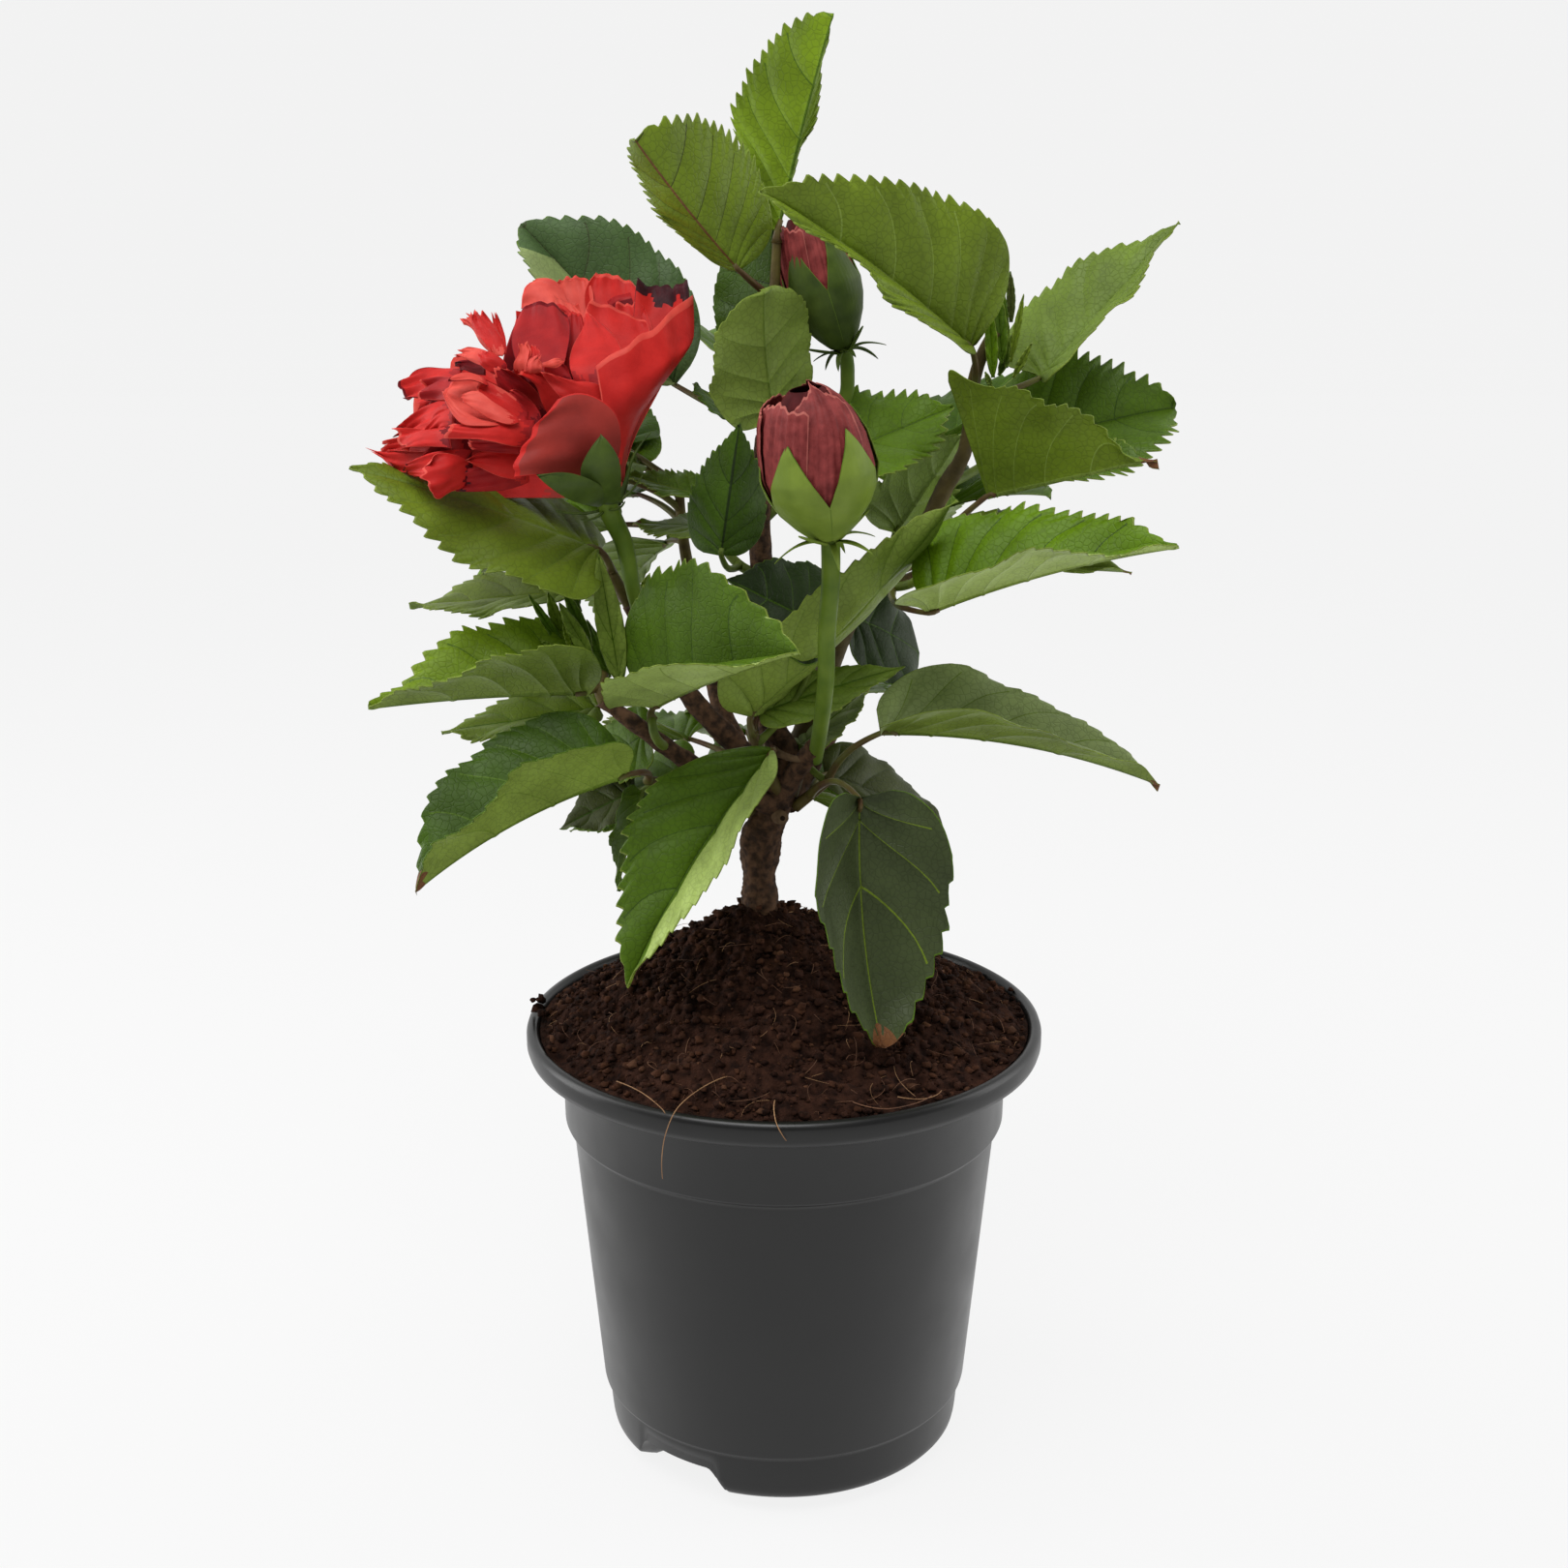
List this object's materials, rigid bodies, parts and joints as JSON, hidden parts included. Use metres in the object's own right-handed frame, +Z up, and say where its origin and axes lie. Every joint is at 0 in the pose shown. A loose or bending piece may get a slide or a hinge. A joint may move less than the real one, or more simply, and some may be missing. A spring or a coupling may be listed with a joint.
{
  "type": "potted hibiscus shrub",
  "caption": "Small flowering hibiscus shrub with a double red bloom, closed buds and toothed folded leaves, standing in a round tapered nursery pot.",
  "frame": {"origin": "middle of the pot's flat underside", "axes": "+Z up along the plant, -Y towards the side where the open flower and the front bud show"},
  "size_m": [0.2281, 0.1904, 0.4112],
  "materials": {
    "pot": "satin moulded plastic",
    "soil": "loose crumbly potting mix",
    "bark": "rough bark",
    "leaf": "waxy leaf",
    "petal": "thin soft petals",
    "bud": "folded petals in a green calyx"
  },
  "bodies": {
    "root": {"pot": "pot", "soil": "soil", "trunk": "bark", "bough_leader": "bark", "bough_front": "bark", "bough_right": "bark", "bough_left_upper": "bark", "bough_left_lower": "bark", "bough_back_left": "bark", "bough_back_right": "bark", "bloom": "petal", "bud_front": "bud", "bud_upper": "bud", "foliage_top": "leaf", "foliage_mid_left": "leaf", "foliage_inner": "leaf", "foliage_right_top": "leaf", "foliage_right_front": "leaf", "foliage_right_rear": "leaf", "foliage_right_back": "leaf", "foliage_left_upper": "leaf", "foliage_left_lower": "leaf", "foliage_left_front": "leaf", "foliage_left_under": "leaf", "foliage_center": "leaf", "foliage_right_low": "leaf", "foliage_back_left": "leaf", "foliage_back_right": "leaf", "foliage_back_top": "leaf", "foliage_back_low": "leaf"}
  },
  "joints": []
}
